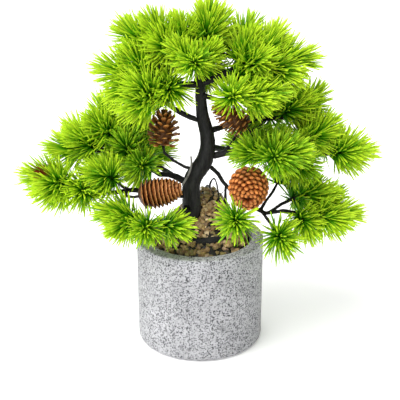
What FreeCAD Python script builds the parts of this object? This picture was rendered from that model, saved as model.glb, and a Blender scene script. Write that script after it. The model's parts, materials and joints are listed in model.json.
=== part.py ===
import FreeCAD, Part
import math
import os

from FreeCAD import Placement, Rotation, Vector

# Artificial tabletop pine in a speckled pot.
# Millimetres, +Z up, +X to the right and -Y to the front of the tree.
# The origin is the centre of the pot's underside.

doc = FreeCAD.newDocument("tabletop_pine")

# ---------------------------------------------------------------------------
# Driving dimensions
# ---------------------------------------------------------------------------

DIMENSIONS = [
    ("pot_radius", 55.0, "outside radius of the pot"),
    ("pot_height", 95.0, "height of the pot's rim"),
    ("pot_wall", 10.0, "thickness of the pot's side wall"),
    ("pot_floor", 10.0, "thickness of the pot's floor"),
    ("pot_foot_round", 4.0, "rounding of the pot's lower outer edge"),
    ("pot_rim_round", 1.5, "rounding of the rim's edges"),
    ("cup_clearance", 0.3, "gap between the planting cup and the pot"),
    ("cup_wall", 1.5, "wall of the planting cup"),
    ("cup_height", 81.0, "height of the planting cup"),
    ("foam_height", 68.0, "height of the foam that holds the tree"),
    ("stake_radius", 3.0, "steel stake that joins the trunk to the foam"),
    ("stake_length", 70.0, "length of the stake"),
    ("stake_depth", 40.0, "how far the stake goes down into the foam"),
    ("gravel_radius", 42.9, "radius of the gravel bed at its foot"),
    ("trunk_radius", 9.0, "radius of the trunk just above the gravel"),
    ("limb_radius", 3.2, "radius of a branch at the trunk"),
    ("twig_radius", 1.5, "radius of a bare twig, stalk or vine"),
    ("root_radius", 4.0, "radius of the surface root"),
    ("hinge_gap", 0.35, "room round the rounded root of a bendable branch"),
    ("sprig_reach", 37.0, "length of a sprig, stalk to needle tips"),
    ("sprig_stalk", 7.0, "bare stalk of a sprig"),
    ("sprig_shoulder", 28.0, "where a sprig's needle core is widest"),
    ("sprig_stalk_radius", 1.1, "radius of a sprig's stalk"),
    ("sprig_core_radius", 6.5, "radius of the dense core of a sprig"),
    ("cone_radius", 13.0, "radius of a pine cone"),
]

sheet = doc.addObject("Spreadsheet::Sheet", "dims")
for row, (alias, value, note) in enumerate(DIMENSIONS, start=1):
    sheet.set("A%d" % row, alias)
    sheet.set("B%d" % row, str(value))
    sheet.set("C%d" % row, note)
    sheet.setAlias("B%d" % row, alias)
doc.recompute()


def size(alias):
    return float(sheet.get(alias))


# ---------------------------------------------------------------------------
# Helpers
# ---------------------------------------------------------------------------

GLUE = 0.15  # film of glue under a stalk's foot

node_parts = []


def bind(item, **expressions):
    """Tie properties of a document object to cells of the sheet."""
    for name, expression in expressions.items():
        item.setExpression(name, expression)
    return item


def as_node(item, label):
    """Name a finished sub-part and put it on the list of files to write."""
    item.Label = label
    node_parts.append(item)
    return item


def cylinder(name, radius, height, base="0"):
    item = doc.addObject("Part::Cylinder", name)
    bind(item, Radius=radius, Height=height)
    item.setExpression(".Placement.Base.z", base)
    return item


def cut(name, base, tool):
    item = doc.addObject("Part::Cut", name)
    item.Base = base
    item.Tool = tool
    return item


def fuse(name, shapes):
    item = doc.addObject("Part::MultiFuse", name)
    item.Shapes = shapes
    return item


def steady_axis(directions):
    """The world axis that lies furthest from every one of these directions."""
    axes = [Vector(1, 0, 0), Vector(0, 1, 0), Vector(0, 0, 1)]
    return min(axes, key=lambda axis: max(abs(axis.dot(d)) for d in directions))


def lofted(name, points, radius_alias, ruled=False, level=False):
    """A round body through points (x, y, z, share of a radius in the sheet)."""
    places = [Vector(*point[:3]) for point in points]
    last = len(places) - 1
    directions = []
    for index in range(last + 1):
        ahead = places[min(index + 1, last)]
        behind = places[max(index - 1, 0)]
        directions.append(Vector(0, 0, 1) if level else (ahead - behind).normalize())
    side = steady_axis(directions)
    sections = []
    for index, point in enumerate(points):
        section = doc.addObject("Part::Circle", "%s_section" % name)
        along = directions[index]
        across = (side - along * side.dot(along)).normalize()
        turn = Rotation(across, Vector(), along, "ZXY")
        section.Placement = Placement(places[index], turn)
        bind(section, Radius="dims.%s * %s" % (radius_alias, point[3]))
        sections.append(section)
    item = doc.addObject("Part::Loft", name)
    item.Sections = sections
    item.Solid = True
    item.Ruled = ruled
    return item


def tapered(name, base, tip, profile, radius_alias):
    """A straight round body from base to tip, with (share of length, share of radius)."""
    start = Vector(*base)
    line = Vector(*tip) - start
    points = []
    for along, share in profile:
        place = start + line * along
        points.append((place.x, place.y, place.z, share))
    return lofted(name, points, radius_alias)


def heading(azimuth, elevation):
    """Unit vector. Azimuth 0 is +X and 90 is +Y, elevation is up from level."""
    a = math.radians(azimuth)
    e = math.radians(elevation)
    return Vector(math.cos(e) * math.cos(a), math.cos(e) * math.sin(a), math.sin(e))


def seat(lines, thickness, which, along, toward, foot):
    """Where a stalk of radius foot starts so that it just clears its branch."""
    line = lines[which]
    left = along
    for start, end in zip(line, line[1:]):
        run = Vector(*end[:3]) - Vector(*start[:3])
        length = run.Length
        if left <= length or end is line[-1]:
            break
        left -= length
    part = min(left / length, 1.0)
    place = Vector(*start[:3]) + run * part
    radius = thickness * (start[3] + (end[3] - start[3]) * part)
    slope = toward.getAngle(run)
    beside = (radius + foot * abs(math.cos(slope))) / math.sin(slope)
    if end is line[-1] and length - left < max(2 * foot, beside * math.cos(slope)):
        return Vector(*end[:3]) + toward * (foot * math.tan(slope) + GLUE)
    return place + toward * (beside + GLUE)


# ---------------------------------------------------------------------------
# Pot, planting cup and foam
# ---------------------------------------------------------------------------


def make_pot():
    outside = cylinder("pot_outside", "dims.pot_radius", "dims.pot_height")
    hollow = cylinder("pot_hollow", "dims.pot_radius - dims.pot_wall", "dims.pot_height", "dims.pot_floor")
    shell = cut("pot_shell", outside, hollow)
    doc.recompute()
    foot_edges = []
    rim_edges = []
    for number, edge in enumerate(shell.Shape.Edges, start=1):
        if not isinstance(edge.Curve, Part.Circle):
            continue
        level = edge.Curve.Center.z
        if level < 0.001 and edge.Curve.Radius > size("pot_radius") - 0.001:
            foot_edges.append((number, size("pot_foot_round"), size("pot_foot_round")))
        if level > size("pot_height") - 0.001:
            rim_edges.append((number, size("pot_rim_round"), size("pot_rim_round")))
    rounded = doc.addObject("Part::Fillet", "pot_rounded")
    rounded.Base = shell
    rounded.Edges = foot_edges + rim_edges
    return as_node(rounded, "pot")


def make_cup():
    outside_radius = "dims.pot_radius - dims.pot_wall - dims.cup_clearance"
    outside = cylinder("cup_outside", outside_radius, "dims.cup_height", "dims.pot_floor")
    hollow = cylinder("cup_hollow", outside_radius + " - dims.cup_wall", "dims.cup_height",
                      "dims.pot_floor + dims.cup_wall")
    return as_node(cut("cup_shell", outside, hollow), "planting_cup")


def make_foam(stake):
    block = cylinder("foam_block", "dims.gravel_radius", "dims.foam_height",
                     "dims.pot_floor + dims.cup_wall")
    return as_node(cut("foam_cut", block, stake), "foam_anchor")


# ---------------------------------------------------------------------------
# Trunk, gravel, roots and bare twigs
# ---------------------------------------------------------------------------

# Trunk line (x, y, z, share of trunk_radius), from the foam to the leader's tip.
# It leans left, kicks to the right above the first limbs and comes back upright.
TRUNK_LINE = [
    (-6.0, 0.5, 79.5, 1.12),
    (-6.0, 0.5, 92.0, 1.11),
    (-6.1, 0.4, 105.0, 1.08),
    (-6.6, 0.0, 118.0, 0.99),
    (-7.5, 0.0, 134.0, 0.90),
    (-6.3, 0.0, 146.0, 0.86),
    (-1.2, -0.5, 155.0, 0.86),
    (3.8, -0.5, 163.5, 0.82),
    (6.2, 0.0, 174.0, 0.76),
    (6.0, 0.5, 186.0, 0.70),
    (3.2, 0.5, 197.0, 0.62),
    (1.0, 0.0, 210.0, 0.55),
    (0.4, 0.5, 224.0, 0.50),
    (0.0, 2.0, 240.0, 0.40),
    (2.0, 3.0, 255.0, 0.28),
    (5.0, 2.0, 264.0, 0.20),
]

STAKE_FOOT = Vector(-6.0, 0.5, 0.0)

# Gravel mound: level circles (x, y, z, share of gravel_radius), higher at the back right.
GRAVEL_LEVELS = [
    (0.0, 0.0, 79.5, 1.0),
    (0.0, 0.5, 86.0, 0.99),
    (1.0, 3.0, 97.0, 0.84),
    (3.0, 9.0, 108.0, 0.62),
    (5.0, 15.0, 117.0, 0.42),
    (7.0, 19.0, 125.0, 0.22),
    (8.0, 21.0, 129.5, 0.06),
]

# Black root that breaks the surface across the front slope.
SURFACE_ROOT = [
    (-15.0, -17.0, 103.0, 0.55),
    (-8.0, -24.0, 101.0, 0.95),
    (2.0, -27.5, 100.0, 1.0),
    (13.0, -25.5, 101.0, 0.9),
    (23.0, -19.0, 101.0, 0.45),
]

VINE_LINE = [
    (-7.6, -9.0, 170.0, 0.45),
    (-7.2, -9.1, 164.0, 0.55),
    (-8.6, -10.0, 157.0, 0.6),
    (-12.0, -9.4, 149.5, 0.6),
    (-14.8, -8.2, 144.0, 0.5),
]

BARE_TWIGS = {
    "gravel_twig": [
        (22.5, 6.0, 141.0, 0.75),
        (22.0, 5.0, 134.0, 0.85),
        (22.0, 6.5, 127.0, 0.95),
        (22.5, 8.0, 112.0, 1.0),
    ],
    "pin_twig": [
        (33.0, 12.0, 148.5, 0.42),
        (28.0, 12.0, 141.5, 0.32),
        (22.0, 13.0, 133.0, 0.32),
        (15.0, 15.0, 118.0, 0.32),
    ],
}

# Closed bow of wire-like twig that grows out of the gravel and back into it.
LOOP_TWIG = [
    (9.0, 8.0, 112.0, 0.62),
    (9.3, 7.5, 124.0, 0.62),
    (8.6, 7.0, 136.0, 0.6),
    (9.6, 7.0, 142.0, 0.58),
    (12.0, 7.0, 144.5, 0.55),
    (14.0, 7.0, 141.0, 0.55),
    (15.2, 7.5, 135.0, 0.55),
    (16.5, 8.0, 126.0, 0.55),
    (17.0, 9.0, 112.0, 0.55),
]

# ---------------------------------------------------------------------------
# Branches. Each line is (x, y, z, share of limb_radius) from the trunk outwards,
# and its side twigs start inside it. Bendable limbs have a rounded root that
# turns in a recess of the trunk, and lie on a body of their own.
# ---------------------------------------------------------------------------

FIXED_LIMBS = {
    "crown_left_branch": [[
        (0.3, 0.5, 229.0, 1.0), (-12.0, -2.0, 229.5, 0.9), (-23.0, -3.0, 231.0, 0.8),
        (-38.0, -2.0, 233.5, 0.65), (-52.0, 1.0, 236.0, 0.5),
    ]],
    "crown_upper_left_branch": [[
        (0.0, 2.0, 241.0, 0.9), (-10.0, 3.0, 250.0, 0.8), (-24.0, 4.0, 255.0, 0.65),
        (-40.0, 7.0, 258.0, 0.5),
    ]],
    "crown_front_branch": [[
        (0.0, 1.0, 235.0, 0.85), (-1.0, -10.0, 242.0, 0.75), (-3.0, -20.0, 248.0, 0.6),
        (-4.0, -27.0, 252.0, 0.5),
    ]],
    "crown_right_branch": [[
        (0.3, 0.5, 230.0, 1.0), (9.0, -1.0, 233.0, 0.95), (18.0, -2.0, 238.0, 0.85),
        (33.0, -2.0, 244.5, 0.7), (48.0, -1.0, 247.0, 0.6), (61.0, 0.0, 247.0, 0.5),
    ]],
    "crown_back_right_branch": [[
        (1.0, 2.5, 246.0, 0.8), (14.0, 12.0, 248.0, 0.7), (30.0, 22.0, 250.0, 0.6),
        (47.0, 30.0, 250.0, 0.5),
    ]],
    "crown_back_branch": [[
        (0.2, 1.5, 234.0, 0.85), (-3.0, 16.0, 238.0, 0.75), (-9.0, 32.0, 241.0, 0.6),
        (-16.0, 47.0, 242.0, 0.5),
    ]],
    "left_bough": [[
        (3.0, 0.5, 197.5, 0.8), (-8.0, -1.0, 201.5, 0.72), (-16.0, -3.0, 206.0, 0.7),
        (-24.0, -6.0, 212.0, 0.6), (-31.0, -12.0, 221.0, 0.5), (-35.0, -16.4, 223.2, 0.42),
    ]],
    "right_front_bough": [[
        (0.6, 0.0, 221.0, 0.75), (9.0, -8.0, 220.0, 0.68), (17.0, -20.0, 220.5, 0.6),
        (22.0, -30.0, 223.5, 0.5), (25.0, -37.0, 227.0, 0.45),
    ], [
        (16.0, -18.5, 220.4, 0.5), (27.0, -23.0, 224.0, 0.48), (40.0, -25.0, 227.0, 0.45),
    ]],
    "right_back_bough": [[
        (6.0, 0.5, 189.0, 0.9), (17.0, 6.0, 190.5, 0.8), (32.0, 13.0, 192.0, 0.72),
        (48.0, 17.0, 194.5, 0.65), (65.0, 15.0, 196.0, 0.55), (82.0, 13.0, 199.0, 0.5),
    ]],
    "upright_cone_stalk": [[
        (-1.5, -0.5, 154.5, 0.55), (-13.0, -2.5, 158.5, 0.45), (-22.0, -4.0, 164.5, 0.4),
        (-30.0, -5.0, 172.0, 0.4), (-30.5, -5.0, 178.0, 0.4),
    ]],
}

BENDABLE_LIMBS = {
    "left_limb": [
        [
            (-15.0, 0.0, 132.5, 1.0), (-26.0, -1.0, 134.0, 0.92), (-40.0, -2.0, 136.5, 0.8),
            (-58.0, -4.0, 138.0, 0.7), (-74.0, -6.0, 136.5, 0.6), (-94.0, -9.0, 141.0, 0.55),
            (-116.0, -11.0, 150.0, 0.5),
        ],
        [
            (-60.0, -4.0, 138.0, 0.5), (-66.0, -10.0, 144.0, 0.48), (-69.0, -17.0, 152.0, 0.45),
        ],
    ],
    "left_upper_limb": [
        [
            (-14.1, 1.5, 144.6, 0.92), (-20.0, 1.5, 148.0, 0.85), (-27.0, 1.0, 150.5, 0.8),
            (-34.0, 1.0, 150.5, 0.75), (-43.0, 2.0, 156.0, 0.7), (-58.0, 4.0, 164.0, 0.62),
            (-76.0, 6.0, 170.0, 0.55), (-97.0, 9.0, 168.5, 0.5),
        ],
        [
            (-66.0, 4.9, 167.0, 0.5), (-70.0, 6.0, 175.0, 0.48), (-73.0, 8.0, 184.0, 0.45),
        ],
    ],
    "left_front_limb": [
        [
            (-11.8, -7.4, 121.5, 0.9), (-21.0, -17.0, 119.0, 0.8), (-31.0, -29.0, 118.0, 0.7),
            (-38.0, -38.0, 120.0, 0.6), (-42.0, -45.0, 123.5, 0.5),
        ],
        [
            (-33.0, -32.0, 118.3, 0.5), (-45.0, -35.0, 123.0, 0.48), (-54.0, -38.0, 130.5, 0.45),
        ],
    ],
    "right_limb": [
        [
            (12.4, 0.0, 167.8, 0.92), (20.0, -1.0, 170.0, 0.85), (30.0, -2.5, 171.5, 0.8),
            (40.0, -4.0, 171.0, 0.75), (52.0, -5.0, 166.0, 0.7), (68.0, -2.0, 162.5, 0.62),
            (88.0, 3.0, 164.0, 0.55), (114.0, 7.0, 168.0, 0.5),
        ],
        [
            (19.0, -1.0, 169.8, 0.5), (26.0, 2.0, 177.0, 0.48), (31.0, 6.0, 185.0, 0.42),
        ],
        [
            (50.0, -5.0, 166.5, 0.5), (55.0, -18.0, 171.5, 0.48), (58.5, -31.0, 177.5, 0.45),
        ],
        [
            (72.0, -1.0, 162.8, 0.5), (81.0, 1.0, 170.0, 0.48), (89.0, 2.0, 179.0, 0.45),
        ],
    ],
    "right_low_limb": [
        [
            (9.8, 1.0, 156.5, 0.6), (15.5, 1.0, 151.0, 0.55), (19.0, 1.5, 144.5, 0.52),
            (25.0, 1.0, 137.0, 0.52), (34.0, -1.0, 130.0, 0.52), (44.0, -6.0, 123.5, 0.55),
            (56.0, -12.0, 120.0, 0.55), (71.0, -16.0, 124.0, 0.52), (86.0, -16.0, 121.5, 0.5),
            (103.0, -12.0, 118.0, 0.45),
        ],
        [
            (58.0, -12.5, 120.4, 0.5), (69.0, -10.0, 127.5, 0.48), (82.0, -9.0, 133.5, 0.45),
        ],
        [
            (53.0, -11.0, 120.6, 0.45), (58.0, -26.0, 118.0, 0.43), (62.0, -44.0, 116.0, 0.4),
        ],
        [
            (42.0, -5.5, 124.6, 0.45), (37.0, -22.0, 126.5, 0.43), (31.5, -42.0, 130.0, 0.42),
            (30.0, -55.0, 133.3, 0.4),
        ],
        [
            (51.0, -9.5, 121.3, 0.48), (56.0, -5.0, 128.0, 0.45), (62.0, -1.0, 135.0, 0.42),
            (65.8, 4.2, 140.1, 0.4),
        ],
    ],
    "back_left_limb": [
        [
            (-10.5, 6.3, 140.5, 0.9), (-19.0, 15.0, 141.5, 0.8), (-31.0, 28.0, 144.5, 0.7),
            (-43.0, 43.0, 148.0, 0.6), (-53.0, 58.0, 150.5, 0.5),
        ],
        [
            (-41.0, 40.5, 147.4, 0.5), (-54.0, 41.0, 149.0, 0.48), (-68.0, 38.0, 150.5, 0.45),
        ],
    ],
    "back_right_limb": [
        [
            (9.6, 5.0, 173.5, 0.9), (19.0, 15.0, 168.5, 0.8), (31.0, 29.0, 162.0, 0.7),
            (44.0, 43.0, 156.0, 0.6), (54.0, 57.0, 154.0, 0.5),
        ],
        [
            (42.0, 41.0, 156.8, 0.5), (56.0, 42.0, 153.0, 0.48), (71.0, 38.0, 152.0, 0.45),
        ],
    ],
}

# ---------------------------------------------------------------------------
# Needle sprigs by branch. Each is the branch's line that it stands on, how far
# out along that line, and its azimuth and elevation.
# ---------------------------------------------------------------------------

SPRIGS = {
    "crown_left_sprigs": ("crown_left_branch", [
        (0, 53, 176, 14),
        (0, 44, 205, -20),
        (0, 34, 100, 6),
        (0, 24, 262, -8),
        (0, 40, 196, 52),
    ]),
    "crown_upper_left_sprigs": ("crown_upper_left_branch", [
        (0, 44, 172, 34),
        (0, 37, 128, 20),
        (0, 30, 196, 64),
        (0, 24, 238, 30),
        (0, 15, 215, 78),
    ]),
    "crown_front_sprigs": ("crown_front_branch", [
        (0, 33, 268, 22),
        (0, 25, 206, 44),
        (0, 20, 320, 50),
    ]),
    "leader_sprigs": ("trunk", [
        (0, 189, 20, 84),
        (0, 182, 40, 50),
        (0, 173.5, 100, 44),
    ]),
    "crown_right_sprigs": ("crown_right_branch", [
        (0, 64, 0, 8),
        (0, 56, 318, -18),
        (0, 48, 20, 50),
        (0, 39, 300, 22),
        (0, 32, 345, 66),
        (0, 24, 318, -6),
    ]),
    "crown_back_right_sprigs": ("crown_back_right_branch", [
        (0, 53, 30, 10),
        (0, 44, 88, 8),
        (0, 36, 48, 52),
        (0, 23, 106, 34),
        (0, 29, 10, -34),
    ]),
    "crown_back_sprigs": ("crown_back_branch", [
        (0, 48, 112, 12),
        (0, 40, 176, 8),
        (0, 34, 62, 12),
        (0, 25, 130, 56),
        (0, 20, 28, -24),
    ]),
    "left_bough_sprigs": ("left_bough", [
        (0, 45, 225, -4),
        (0, 51, 225, 32),
        (0, 33, 130, 20),
    ]),
    "right_front_bough_sprigs": ("right_front_bough", [
        (0, 46, 272, 24),
        (1, 26, 350, 8),
        (1, 19, 308, 2),
    ]),
    "right_back_bough_sprigs": ("right_back_bough", [
        (0, 80, 20, 46),
        (0, 72, 60, 16),
        (0, 58, 104, 8),
        (0, 64, 330, 42),
        (0, 50, 60, 50),
    ]),
    "left_limb_outer_sprigs": ("left_limb", [
        (0, 104, 180, 10),
        (0, 98, 236, 16),
        (0, 90, 200, -4),
        (0, 82, 262, 14),
    ]),
    "left_limb_inner_sprigs": ("left_limb", [
        (1, 21, 228, 30),
        (1, 16, 168, 16),
    ]),
    "left_upper_limb_outer_sprigs": ("left_upper_limb", [
        (0, 90, 176, 6),
        (0, 82, 150, 40),
        (0, 75, 118, 26),
        (0, 78, 215, 44),
        (1, 20, 140, 64),
        (1, 15, 215, 44),
    ]),
    "left_upper_limb_inner_sprigs": ("left_upper_limb", [
        (1, 8, 40, 50),
        (0, 50, 250, 56),
        (0, 43, 70, 50),
        (0, 35, 258, 20),
    ]),
    "left_front_limb_sprigs": ("left_front_limb", [
        (0, 49, 262, 10),
        (0, 36, 326, 6),
        (1, 25, 186, 6),
        (1, 19, 226, -4),
    ]),
    "right_limb_outer_sprigs": ("right_limb", [
        (0, 106, 2, 2),
        (0, 100, 325, 16),
        (0, 94, 52, 16),
        (3, 23, 350, 40),
        (3, 17, 40, 34),
    ]),
    "right_limb_inner_sprigs": ("right_limb", [
        (2, 29, 276, 14),
        (2, 23, 322, 22),
        (2, 16, 222, 24),
        (1, 18, 10, -14),
        (0, 66, 300, 0),
        (0, 58, 350, 48),
    ]),
    "right_low_limb_outer_sprigs": ("right_low_limb", [
        (0, 112, 0, 4),
        (0, 104, 318, 4),
        (0, 98, 30, 20),
        (0, 90, 290, -14),
        (1, 26, 345, 16),
    ]),
    "right_low_limb_inner_sprigs": ("right_low_limb", [
        (2, 34, 284, 4),
        (3, 52, 262, 14),
        (1, 19, 40, 4),
        (4, 28, 50, 40),
    ]),
    "back_left_limb_sprigs": ("back_left_limb", [
        (0, 68, 118, 10),
        (0, 59, 62, 8),
        (1, 27, 172, -6),
        (1, 20, 112, 28),
        (0, 52, 96, 60),
        (0, 40, 172, -10),
    ]),
    "back_right_limb_sprigs": ("back_right_limb", [
        (0, 71, 62, 10),
        (0, 63, 122, 4),
        (1, 30, 8, 6),
        (1, 22, 62, 34),
        (0, 55, 84, 58),
    ]),
}

# Pine cones: base, tip, share of cone_radius, and the branch that carries the stalk.
CONES = {
    "upright_cone": ((-30.5, -5.0, 178.3), (-29.5, -5.0, 208.0), 0.98),
    "golden_cone": ((38.5, -5.0, 193.0), (11.5, -6.5, 215.0), 0.9),
    "ball_cone": ((41.5, -12.0, 147.0), (38.0, -43.0, 149.0), 1.18),
    "low_cone": ((-51.0, -25.0, 140.5), (-14.5, -25.0, 147.5), 0.92),
}

# Open cones are egg-shaped, closed ones rounder: (share of length, share of radius).
CONE_PROFILE = [
    (0.0, 0.35), (0.08, 0.74), (0.25, 0.98), (0.45, 1.0), (0.7, 0.8), (0.9, 0.45), (1.0, 0.12),
]

# Wire stalks of the other three cones: the branch and line they leave, how far out,
# azimuth and elevation there, and a place to pass on the way to the cone's base.
CONE_STALKS = {
    "golden_cone_stalk": ("right_back_bough", 0, 51, 262, -6, [(50.0, 4.0, 191.5)]),
    "ball_cone_stalk": ("right_low_limb", 0, 40, 20, 55, [(40.0, 1.0, 142.0)]),
    "low_cone_stalk": ("left_limb", 0, 47, 262, 0, [(-62.0, -17.0, 137.5)]),
}


def make_sprig_core():
    """The dense core of one sprig, turned about its own stalk: the pattern for all."""
    body = doc.addObject("PartDesign::Body", "sprig_pattern")
    sketch = body.newObject("Sketcher::SketchObject", "sprig_outline")
    plane = [item for item in body.Origin.OriginFeatures if item.Role == "XZ_Plane"][0]
    sketch.AttachmentSupport = [(plane, "")]
    sketch.MapMode = "FlatFace"
    reach = size("sprig_reach")
    outline = [
        (0.0, 0.0),
        (size("sprig_stalk_radius"), 0.0),
        (size("sprig_stalk_radius"), size("sprig_stalk")),
        (size("sprig_core_radius"), size("sprig_shoulder")),
        (size("sprig_core_radius") * 0.6, reach),
        (0.0, reach),
    ]
    corners = len(outline)
    for index in range(corners):
        start = Vector(*outline[index], 0)
        end = Vector(*outline[(index + 1) % corners], 0)
        sketch.addGeometry(Part.LineSegment(start, end), False)
    import Sketcher
    for index in range(corners):
        sketch.addConstraint(Sketcher.Constraint("Coincident", index, 2, (index + 1) % corners, 1))
    sketch.addConstraint(Sketcher.Constraint("Coincident", 0, 1, -1, 1))
    placed = [
        (1, 1, "sprig_stalk_radius", None),
        (2, 1, "sprig_stalk_radius", "sprig_stalk"),
        (3, 1, "sprig_core_radius", "sprig_shoulder"),
        (4, 1, "sprig_core_radius * 0.6", "sprig_reach"),
    ]
    for edge, end, across, along in placed:
        corner = outline[edge]
        number = sketch.addConstraint(
            Sketcher.Constraint("DistanceX", -1, 1, edge, end, corner[0]))
        sketch.setExpression("Constraints[%d]" % number, "dims." + across)
        if along is None:
            sketch.addConstraint(Sketcher.Constraint("PointOnObject", edge, end, -1))
            continue
        number = sketch.addConstraint(
            Sketcher.Constraint("DistanceY", -1, 1, edge, end, corner[1]))
        sketch.setExpression("Constraints[%d]" % number, "dims." + along)
    sketch.addConstraint(Sketcher.Constraint("PointOnObject", 5, 1, -2))
    sketch.addConstraint(Sketcher.Constraint("Horizontal", 4))
    turned = body.newObject("PartDesign::Revolution", "sprig_turned")
    turned.Profile = sketch
    turned.ReferenceAxis = (sketch, ["V_Axis"])
    turned.Angle = 360
    body.Tip = turned
    return body


def make_limbs(trunk_skin):
    """Makes the branches and returns the recesses that the bendable ones turn in."""
    recesses = []
    for name, lines in FIXED_LIMBS.items():
        pieces = [lofted(name + "_line", line, "limb_radius", ruled=True) for line in lines]
        whole = fuse(name + "_whole", pieces) if len(pieces) > 1 else pieces[0]
        as_node(cut(name + "_cut", whole, trunk_skin), name)
    for name, lines in BENDABLE_LIMBS.items():
        pieces = [lofted("%s_line" % name, line, "limb_radius", ruled=True) for line in lines]
        x, y, z, share = lines[0][0]
        ball = doc.addObject("Part::Sphere", name + "_ball")
        ball.Placement.Base = Vector(x, y, z)
        bind(ball, Radius="dims.limb_radius * %s + 0.1" % share)
        recess = doc.addObject("Part::Sphere", name + "_recess")
        recess.Placement.Base = Vector(x, y, z)
        bind(recess, Radius="dims.limb_radius * %s + 0.1 + dims.hinge_gap" % share)
        recesses.append(recess)
        as_node(fuse(name + "_fused", [ball] + pieces), name)
    return recesses


def branch_lines(branch):
    """A branch's centre lines, and the radius that their shares are taken of."""
    if branch == "trunk":
        return [TRUNK_LINE], size("trunk_radius")
    return {**FIXED_LIMBS, **BENDABLE_LIMBS}[branch], size("limb_radius")


def make_sprigs(pattern):
    for label, (branch, seats) in SPRIGS.items():
        lines, thickness = branch_lines(branch)
        pieces = []
        for which, along, azimuth, elevation in seats:
            toward = heading(azimuth, elevation)
            foot = seat(lines, thickness, which, along, toward, size("sprig_stalk_radius"))
            copy = doc.addObject("App::Link", label + "_copy")
            copy.setLink(pattern)
            copy.LinkTransform = False
            copy.Placement = Placement(foot, Rotation(Vector(0, 0, 1), toward))
            pieces.append(copy)
        group = doc.addObject("Part::Compound", label)
        group.Links = pieces
        as_node(group, label)


def make_cones():
    for label, (base, tip, share) in CONES.items():
        profile = [(along, round(width * share, 4)) for along, width in CONE_PROFILE]
        as_node(tapered(label + "_body", base, tip, profile, "cone_radius"), label)
    for label, (branch, which, along, azimuth, elevation, on_the_way) in CONE_STALKS.items():
        lines, thickness = branch_lines(branch)
        toward = heading(azimuth, elevation)
        foot = seat(lines, thickness, which, along, toward, size("twig_radius") * 0.8)
        base, tip, share = CONES[label.replace("_stalk", "")]
        into_cone = (Vector(*tip) - Vector(*base)).normalize()
        places = [foot, foot + toward * 3] + [Vector(*place) for place in on_the_way]
        places += [Vector(*base) - into_cone * 4, Vector(*base)]
        line = [(place.x, place.y, place.z, 0.8) for place in places]
        as_node(lofted(label + "_wire", line, "twig_radius", ruled=True), label)


def make_all():
    make_pot()
    make_cup()
    trunk_skin = lofted("trunk_skin", TRUNK_LINE, "trunk_radius")
    stake = cylinder("stake_rod", "dims.stake_radius", "dims.stake_length",
                     "dims.pot_floor + dims.cup_wall + dims.foam_height - dims.stake_depth")
    stake.Placement.Base.x = STAKE_FOOT.x
    stake.Placement.Base.y = STAKE_FOOT.y
    as_node(stake, "trunk_stake")
    make_foam(stake)
    recesses = make_limbs(trunk_skin)
    trunk_room = fuse("trunk_room", recesses + [stake])
    as_node(cut("trunk_cut", trunk_skin, trunk_room), "trunk")
    mound = lofted("gravel_mound", GRAVEL_LEVELS, "gravel_radius", ruled=True, level=True)
    gravel = as_node(cut("gravel_cut", mound, trunk_skin), "gravel_bed")
    root = lofted("surface_root_whole", SURFACE_ROOT, "root_radius")
    as_node(cut("surface_root_cut", root, mound), "surface_root")
    for name, line in BARE_TWIGS.items():
        whole = lofted(name + "_whole", line, "twig_radius")
        as_node(cut(name + "_cut", whole, mound), name)
    bow = lofted("loop_twig_whole", LOOP_TWIG, "twig_radius")
    as_node(cut("loop_twig_cut", bow, mound), "loop_twig")
    vine = lofted("trunk_vine_whole", VINE_LINE, "twig_radius")
    as_node(cut("trunk_vine_cut", vine, trunk_skin), "trunk_vine")
    make_sprigs(make_sprig_core())
    make_cones()


make_all()
doc.recompute()

failed = []
for item in doc.Objects:
    if "Invalid" in item.State or "Error" in item.State:
        failed.append(item.Name)
for item in node_parts:
    shape = item.Shape
    if shape.isNull() or not shape.isValid() or not shape.Solids:
        failed.append(item.Label)
if failed:
    raise RuntimeError("not built: " + ", ".join(failed))

os.makedirs("parts", exist_ok=True)
for item in node_parts:
    item.Shape.exportStep("parts/%s.step" % item.Label)
    print("%-34s %2d solids %9.0f mm3" % (item.Label, len(item.Shape.Solids), item.Shape.Volume))
print(len(node_parts), "files")
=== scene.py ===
"""Looks for the tabletop pine: needles, bark, cones, gravel, pot and a small studio."""

import json
import math
import random

import bmesh
import bpy
import numpy as np
from bpy.props import FloatProperty, FloatVectorProperty, IntProperty, PointerProperty
from mathutils import Matrix, Vector, noise


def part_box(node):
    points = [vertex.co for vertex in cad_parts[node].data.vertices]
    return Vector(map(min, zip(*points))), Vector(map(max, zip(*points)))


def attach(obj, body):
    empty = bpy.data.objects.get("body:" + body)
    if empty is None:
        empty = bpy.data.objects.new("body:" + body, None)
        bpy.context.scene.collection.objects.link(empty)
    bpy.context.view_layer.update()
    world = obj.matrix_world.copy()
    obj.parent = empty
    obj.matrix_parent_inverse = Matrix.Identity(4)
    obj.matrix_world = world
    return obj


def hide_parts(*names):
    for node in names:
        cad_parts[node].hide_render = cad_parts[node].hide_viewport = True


bl_info = {
    "name": "Tabletop Pine",
    "version": (1, 0, 0),
    "blender": (4, 5, 0),
    "location": "View3D > Sidebar > Pine",
    "description": "Adds needles, bark, cones, gravel and a plain studio to the tabletop pine",
    "category": "Add Mesh",
}

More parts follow.
